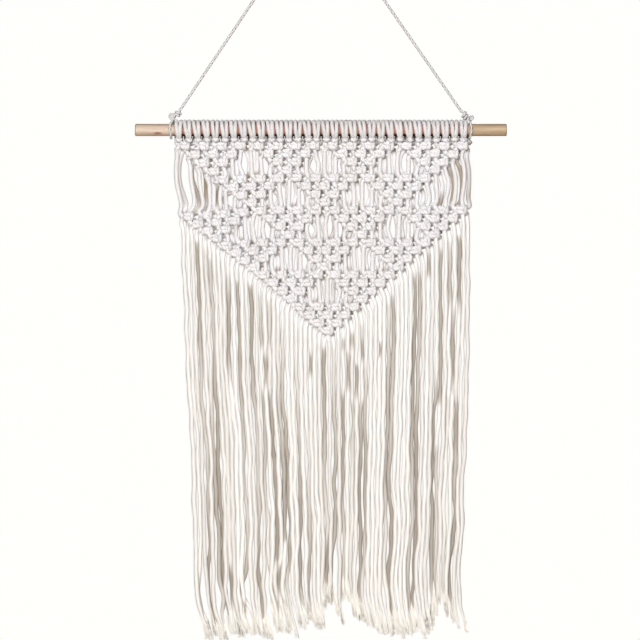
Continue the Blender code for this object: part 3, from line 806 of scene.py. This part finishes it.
def findHolds(levels, wish, wishY, pull, pullY):
    # the strands to hold apart at each gap; behind a shaded gap one strand lies back
    holds = []
    for gap, shaded in [(gap, False) for gap in openGaps] + [(gap, True) for gap in shadedGaps]:
        column, width, topRow, bottomRow = gap
        middle, top, bottom = photoX(column), photoZ(topRow), photoZ(bottomRow)
        half = width * photo["scale"] / 2
        inside = np.where((levels < top) & (levels > bottom))[0]
        level = np.argmin(abs(levels - photoZ((topRow + bottomRow) / 2)))
        share = np.clip((top - levels[inside]) / (top - bottom), 0, 1)
        opening = np.sin(math.pi * share) ** 0.7
        if shaded:
            back = int(np.argmin(abs(wish[:, level] - middle)))
            after, before = back - 1, back + 1
            wishY[back, inside] += opening * (curtain["deep"] - wishY[back, inside])
            wish[back, inside] += opening * (middle - wish[back, inside])
            for k in (after, before):
                wishY[k, inside] += opening * (curtain["front"] - wishY[k, inside])
            pull[back, inside], pullY[back, inside] = pulls["bent"]
        else:
            edges = (wish[:-1, level] + wish[1:, level]) / 2
            after = int(np.argmin(abs(edges - middle)))
            before = after + 1
        holds.append((after, before, inside, middle, half, opening))
    return holds


def pushApart(x, y, free):
    # strands that come too close press each other away, a little more in depth
    for lag in (1, 2, 3):
        dx, dy = x[lag:] - x[:-lag], y[lag:] - y[:-lag]
        far = np.hypot(dx, dy) + 1e-6
        both = free[lag:].astype(float) + free[:-lag]
        push = np.clip(curtain["clear"] - far, 0, None) * 0.5 * (both > 0) / np.maximum(both, 1)
        pushX = push * dx / far
        pushY = push * np.where(abs(dy) < 0.05, 1, dy / far) * curtain["depthPush"]
        x[lag:] += pushX * free[lag:]
        x[:-lag] -= pushX * free[:-lag]
        y[lag:] += pushY * free[lag:]
        y[:-lag] -= pushY * free[:-lag]


def holdApart(x, free, holds):
    for after, before, inside, middle, half, opening in holds:
        edge = (half + curtain["gapClear"] * curtain["clear"]) * opening
        low, high = x[after, inside], x[before, inside]
        x[after, inside] += np.minimum(0, middle - edge - low) * 0.5 * free[after, inside]
        x[before, inside] += np.maximum(0, middle + edge - high) * 0.5 * free[before, inside]


def layCurtain():
    levels = np.arange(curtain["top"], curtain["bottom"], -curtain["levelStep"])
    x, y, free, bent, hangs, near = hangStrands(levels)
    wish, wishY = x.copy(), np.where(bent | hangs, y, curtain["bowKept"] * y)
    pull, pullY = (np.where(near, pulls["root"][k], np.where(bent, pulls["bent"][k], np.where(
        hangs, pulls["hanging"][k], pulls["bowed"][k]))) for k in (0, 1))
    even = np.where(near[:, 1:-1], curtain["evenRoot"], curtain["even"])
    holds = findHolds(levels, wish, wishY, pull, pullY)
    for _ in range(curtain["rounds"]):
        pushApart(x, y, free)
        holdApart(x, free, holds)
        for grid in (x, y):
            uneven = (grid[:, :-2] + grid[:, 2:]) / 2 - grid[:, 1:-1]
            grid[:, 1:-1] += even * uneven * free[:, 1:-1]
        x += pull * (wish - x) * free
        y += pullY * (wishY - y) * free
    return levels, x, y


levels, layX, layY = layCurtain()
print("curtain laid out")

# how a strand of the fringe loosens, varies and waves on its way down, how much duller it can
# be, as a random share of painted shade, and its end: distance from the end in millimetres, thickness share
strandSwell = {"loosen": 0.08, "loosenDrop": 200, "vary": 0.08, "varyLength": 17, "own": 0.12,
               "wave": 0.3, "waveDrop": 50, "waveLengths": (9.5, 5.7), "dull": 0.16,
               "dullDrop": 40, "endVary": (-2, 3), "end": (
                   (0, 0.25), (6, 0.4), (16, 0.65), (30, 0.9), (40, 0.95), (60, 1.05), (90, 1.0))}
# strands that hang behind the others get painted shade: the most painted shade, and the depths in
# millimetres between which it grows
shades = {"most": 0.85, "fringe": (0.3, 3.8), "net": (2.0, 4.6)}
# a free strand's way is read at every other level, this far from its knots and its end
clearOf = {"knot": 2.5, "end": 1.5, "every": 2}


def inShade(back, part):
    start, deep = shades[part]
    return shades["most"] * np.clip((back - start) / (deep - start), 0, 1)


def netPath(strand):
    # down to the strand's last knot
    knots, s = knotsOf[strand], strand - 1
    path = list(knots[0]["points"])
    for upper, lower in zip(knots, knots[1:]):
        if lower["row"] - upper["row"] > 1:
            top, bottom = upper["points"][-1][2], lower["points"][0][2]
            inside = (levels < top - clearOf["knot"]) & (levels > bottom + clearOf["knot"])
            path += [(layX[s, k], layY[s, k], levels[k], 1.0, inShade(layY[s, k], "net"))
                     for k in np.where(inside)[0][::clearOf["every"]]]
        path += list(lower["points"])
    return path


def fringePath(strand):
    # from the strand's last knot to its end at the hem
    last, s = knotsOf[strand][-1]["points"], strand - 1
    low = int(np.argmin(abs(levels - photoZ(hemRow))))
    hemHeight = photoZ(np.interp(photoColumn(layX[s, low]), *zip(*hem)))
    endZ = hemHeight + chance.uniform(*strandSwell["endVary"])
    inside = (levels < last[-1][2] - clearOf["knot"]) & (levels > endZ + clearOf["end"])
    zs = np.append(levels[inside][::clearOf["every"]], endZ)
    drop = last[-1][2] - zs
    swell = 1 + strandSwell["loosen"] * easeIn(drop / strandSwell["loosenDrop"])
    swell = swell + strandSwell["vary"] * np.sin(zs / strandSwell["varyLength"] + 5 * s)
    swell = swell + chance.uniform(-1, 1) * strandSwell["own"]
    swell = swell * np.interp(zs - endZ, *zip(*strandSwell["end"]))
    xs, ys = np.interp(-zs, -levels, layX[s]), np.interp(-zs, -levels, layY[s])
    long, short = strandSwell["waveLengths"]
    wave = strandSwell["wave"] * easeIn(drop / strandSwell["waveDrop"])
    xs = xs + wave * (np.sin(zs / long + 2.3 * s * s) + np.sin(zs / short + 4.1 * s))
    dull = strandSwell["dull"] * chance.uniform(0, 1) ** 2
    shade = inShade(ys, "fringe") + dull * easeIn(drop / strandSwell["dullDrop"])
    return [*last[-2:], *zip(xs, ys, zs, swell, np.minimum(shade, 1))]


# looped heads: each doubled cord goes round the dowel and down through its own loop, whose
# bar lies in front; each one slips, leans and lifts its bar a little
heads = {"pitch": 9.65, "middle": 3.4, "dowelZ": -229.0, "lean": 0.5, "leanVary": (-0.5, 0.7),
         "leanHeight": 8.4, "slip": 0.3, "lift": 0.5, "own": 0.25, "ownDepth": -5,
         "barDepth": -4, "barHeight": -9}
# right half of a head from its bar in front, up the back and down the front, to where it hangs
# behind the bar; from the dowel's axis, with the cord's thickness share and how much painted
# shade it gets
headRoute = ((0.0, -6.9, -11.3, 1.06), (1.4, -6.6, -11.2, 1.03), (2.5, -5.4, -10.8, 0.88),
             (2.75, -3.4, -10.2, 0.76), (2.65, -1.0, -9.6, 0.78, 0.8), (2.4, 3.0, -8.4, 0.85, 1.0),
             (2.4, 6.6, -5.4, 0.9), (2.4, 8.6, -0.6, 0.9), (2.4, 7.3, 4.4, 0.92),
             (2.42, 2.9, 8.2, 0.94), (2.4, -2.4, 8.4, 0.94), (2.3, -7.0, 5.2, 0.92, 0.06),
             (1.95, -8.7, -1.0, 0.9, 0.08), (1.65, -7.6, -5.0, 0.88, 0.08), (1.35, -5.2, -7.8, 0.8, 0.1),
             (1.25, -3.2, -10.0, 0.72), (1.7, -2.4, -12.4, 0.85))


def headPath(pair):
    x = heads["middle"] + (pair - (lattice["pairs"] + 1) / 2) * heads["pitch"]
    lean = heads["lean"] + chance.uniform(*heads["leanVary"])
    slip = chance.uniform(-heads["slip"], heads["slip"])
    lift = chance.uniform(-heads["lift"], heads["lift"])
    halves = []
    for sign in (-1, 1):
        own = chance.uniform(-heads["own"], heads["own"])
        half = []
        for side, depth, height, *rest in headRoute:
            front = depth < 0
            inBar = depth < heads["barDepth"] and height < heads["barHeight"]
            moved = x + slip * front + sign * (side + own * (depth < heads["ownDepth"]))
            moved = moved - lean * height / heads["leanHeight"] * front
            half.append((moved, depth, heads["dowelZ"] + height + (lift if inBar else 0), *rest))
        halves.append(half)
    left, right = halves
    return left[::-1] + right[1:]


# the cords of the net and of the fringe, in millimetres; a cord's tone is how creamy it is, and
# a strand of the fringe grows creamier on its way down
cordMake = {"thickness": 5.0, "lay": 8.2, "plyDepth": 0.12, "plies": 3, "pointsAround": 9,
            "step": 1.3, "toneVary": 0.5}
fringeMake = {**cordMake, "thickness": 4.6, "plyDepth": 0.2, "flankShade": 0.42,
              "startStep": 30.0, "toneShare": 0.6, "toneDown": 0.5}
netCords = []
fringeCords = []
for pair in range(1, lattice["pairs"] + 1):
    leftStrand, rightStrand = netPath(2 * pair - 1), netPath(2 * pair)
    netCords.append({"points": leftStrand[::-1] + headPath(pair) + rightStrand,
                     "tone": chance.uniform(0, cordMake["toneVary"])})
for strand in range(1, strandCount + 1):
    tone = fringeMake["toneShare"] * netCords[(strand - 1) // 2]["tone"]
    fringeCords.append({"points": fringePath(strand), "start": fringeMake["startStep"] * strand,
                        "tone": (tone, tone + fringeMake["toneDown"])})

# combed-out fibres at each end, fanned a little and wavy: how many, from how far above the end
# to how far past it, the bundle's and the fan's radius, and how thick they start and taper
frayMake = {**cordMake, "thickness": 0.9, "plyDepth": 0.0, "pointsAround": 3, "step": 6.5,
            "hairs": 40, "points": 7, "above": (24.0, 56.0), "past": 6.0, "bundle": 1.3,
            "spread": 2.1, "spreadVary": (0.6, 1.5), "depthShare": 0.7, "wave": 0.7,
            "waveTurn": 3.5, "thick": 1.25, "taper": 0.75}


def combOut(path):
    core = np.array(path["points"][2:])
    tip = core[-1]
    slant = (core[-1] - core[-5])[:3] / (core[-5][2] - core[-1][2])
    past, bundle = frayMake["past"], frayMake["bundle"]
    fan = chance.uniform(*frayMake["spreadVary"]) * frayMake["spread"]
    for _ in range(frayMake["hairs"]):
        angle, reach = chance.uniform(0, math.tau), chance.uniform(0.1, 1) ** 0.6
        start = chance.uniform(*frayMake["above"])
        drops = np.linspace(start, -past * chance.uniform(-0.4, 1), frayMake["points"])
        phase, turns = chance.uniform(0, math.tau, 2)
        hair = []
        for drop in drops:
            share = 1 - (drop + past) / (start + past)
            z = tip[2] + drop
            x, y = (np.interp(-z, -core[:, 2], core[:, k]) + slant[k] * max(-drop, 0) for k in (0, 1))
            out = reach * (bundle + (fan - bundle) * share ** 1.3)
            bent = phase + frayMake["waveTurn"] * share + turns
            curl = frayMake["wave"] * share * math.sin(bent)
            hair.append((x + out * math.cos(angle) + curl,
                         y + frayMake["depthShare"] * out * math.sin(angle),
                         z, frayMake["thick"] - frayMake["taper"] * share))
        yield {"points": hair, "tone": path["tone"][1]}


frayHairs = [hair for path in fringeCords for hair in combOut(path)]

netHalf, fringeHalf = len(netCords) // 2, len(fringeCords) // 2
for name, cords, node, finish, make in (
        ("net_left", netCords[:netHalf], "knotted_net", cottonCord, cordMake),
        ("net_right", netCords[netHalf:], "knotted_net", cottonCord, cordMake),
        ("fringe_left", fringeCords[:fringeHalf], "fringe", cottonFringe, fringeMake),
        ("fringe_right", fringeCords[fringeHalf:], "fringe", cottonFringe, fringeMake),
        ("fringe_ends", frayHairs, "fringe", cottonFray, frayMake)):
    piece = makeCords(name, cords, finish, make)
    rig.ride(piece, "root")
    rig.replaces(piece, node)
    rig.slot(piece, "cotton_cord")
print("net and fringe made")

# floor, studio light and paper-white surroundings, in metres
scene = bpy.context.scene
studio = {"gamma": 0.62, "fill": "#EBD5BC", "fillStrength": 0.13, "paper": (1, 1, 0.985, 1)}
scene.view_settings.view_transform = "Standard"
scene.view_settings.gamma = studio["gamma"]
floorSize = {"half": 1.5, "height": -1.25}
# Pale painted floor, plain and matt
floorPaint, floorTree = newMaterial("floor_paint")
finishMaterial(floorTree, {"Base Color": linear("#E4DED5"), "Roughness": 0.8})
floorMesh = bpy.data.meshes.new("floor")
floorMesh.from_pydata([(x * floorSize["half"], y * floorSize["half"], floorSize["height"])
                       for x, y in ((-1, -1), (1, -1), (1, 1), (-1, 1))], [], [(0, 1, 2, 3)])
floorMesh.materials.append(floorPaint)
floor = bpy.data.objects.new("floor", floorMesh)
scene.collection.objects.link(floor)
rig.stage(floor)

world = bpy.data.worlds.new("studio")
scene.world = world
world.use_nodes = True
skyTree = world.node_tree
skyTree.nodes.clear()
seen = addNode(skyTree, "ShaderNodeLightPath")
fill = addNode(skyTree, "ShaderNodeBackground", {
    "Color": linear(studio["fill"]), "Strength": studio["fillStrength"]})
paper = addNode(skyTree, "ShaderNodeBackground", {"Color": studio["paper"], "Strength": 1.0})
mixed = addNode(skyTree, "ShaderNodeMixShader", {0: seen.outputs["Is Camera Ray"],
                1: fill.outputs[0], 2: paper.outputs[0]})
addNode(skyTree, "ShaderNodeOutputWorld", {"Surface": mixed.outputs[0]})

# round soft lamps: name, place, size and power; all of them face the hanging
lampAim = Vector((0, 0, -0.45))
lamps = (("key", (-0.3, -3.3, 0.1), 0.5, 87.0),
         ("key_left", (-1.6, -2.7, 0.1), 0.5, 8.0),
         ("key_right", (1.6, -2.7, 0.0), 0.5, 6.0),
         ("left", (-2.4, 2.0, -0.1), 0.6, 26.0),
         ("right", (2.4, 2.0, -0.1), 0.6, 26.0),
         ("top", (0.2, -1.4, 1.6), 1.2, 12.0),
         ("back", (0.3, 3.0, -0.1), 0.7, 42.0))
for name, place, size, power in lamps:
    lamp = bpy.data.lights.new(name, "AREA")
    lamp.shape = "DISK"
    lamp.size = size
    lamp.energy = power
    holder = bpy.data.objects.new(name, lamp)
    holder.location = place
    holder.rotation_euler = (lampAim - Vector(place)).to_track_quat("-Z", "Y").to_euler()
    scene.collection.objects.link(holder)
print("floor and light made")

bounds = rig.bounds()
with open("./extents.json", "w") as out:
    json.dump({"cad": [list(corner) for corner in cadBox],
               "scene": [list(corner) for corner in bounds]}, out)
